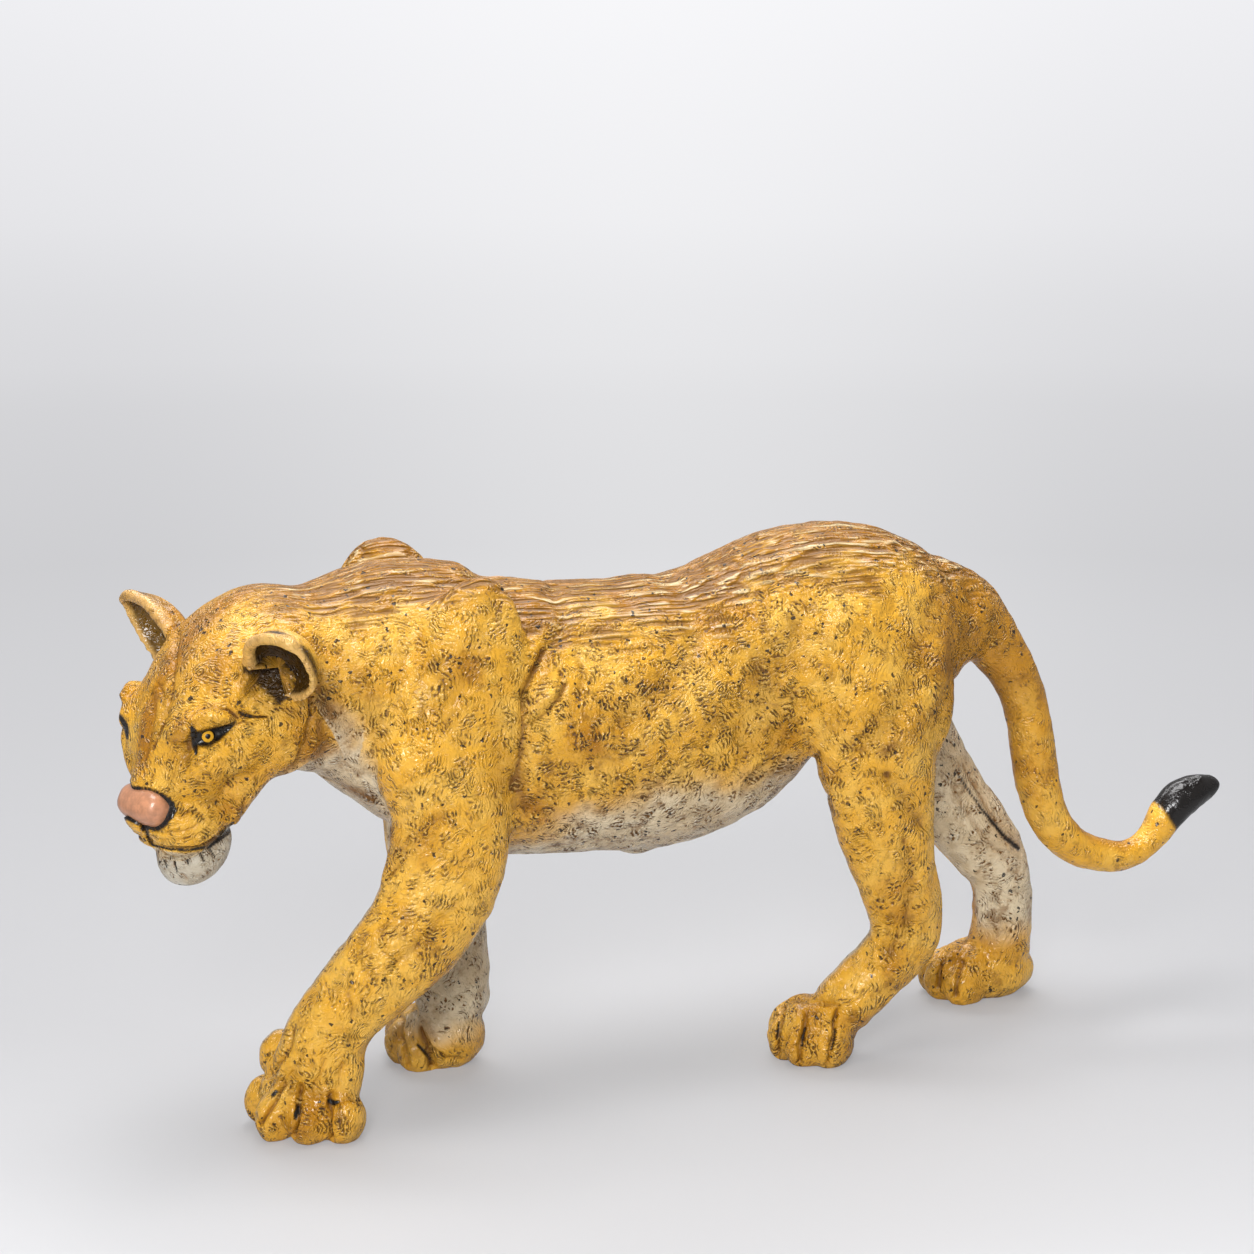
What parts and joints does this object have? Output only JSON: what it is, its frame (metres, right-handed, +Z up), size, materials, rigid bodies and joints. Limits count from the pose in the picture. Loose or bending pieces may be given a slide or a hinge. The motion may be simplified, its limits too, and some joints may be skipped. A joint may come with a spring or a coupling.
{
  "type": "toy wild animal figure",
  "caption": "Toy lioness in a prowling walk: lowered head turned to one side, long body, flat-cut paws and a tail that hooks up at its tip.",
  "frame": {"origin": "on the floor plane, under the middle of the figure's box", "axes": "+X towards the tail, so the nose points to -X; +Y to the figure's right side; +Z up"},
  "size_m": [0.1582, 0.0422, 0.0729],
  "materials": {
    "golden_coat": "soft PVC painted golden ochre with a dark wash in the fur grooves, under a glossy varnish",
    "amber_coat": "soft PVC painted amber with a dark wash, under a glossy varnish",
    "cream_chin": "soft PVC painted cream white with a grey wash, satin to glossy"
  },
  "bodies": {
    "root": {"trunk": "golden_coat", "head": "golden_coat", "lower_jaw": "cream_chin", "left_ear": "amber_coat", "right_ear": "amber_coat", "left_foreleg": "golden_coat", "right_foreleg": "golden_coat", "left_hind_leg": "golden_coat", "right_hind_leg": "golden_coat", "tail": "amber_coat"}
  },
  "joints": []
}
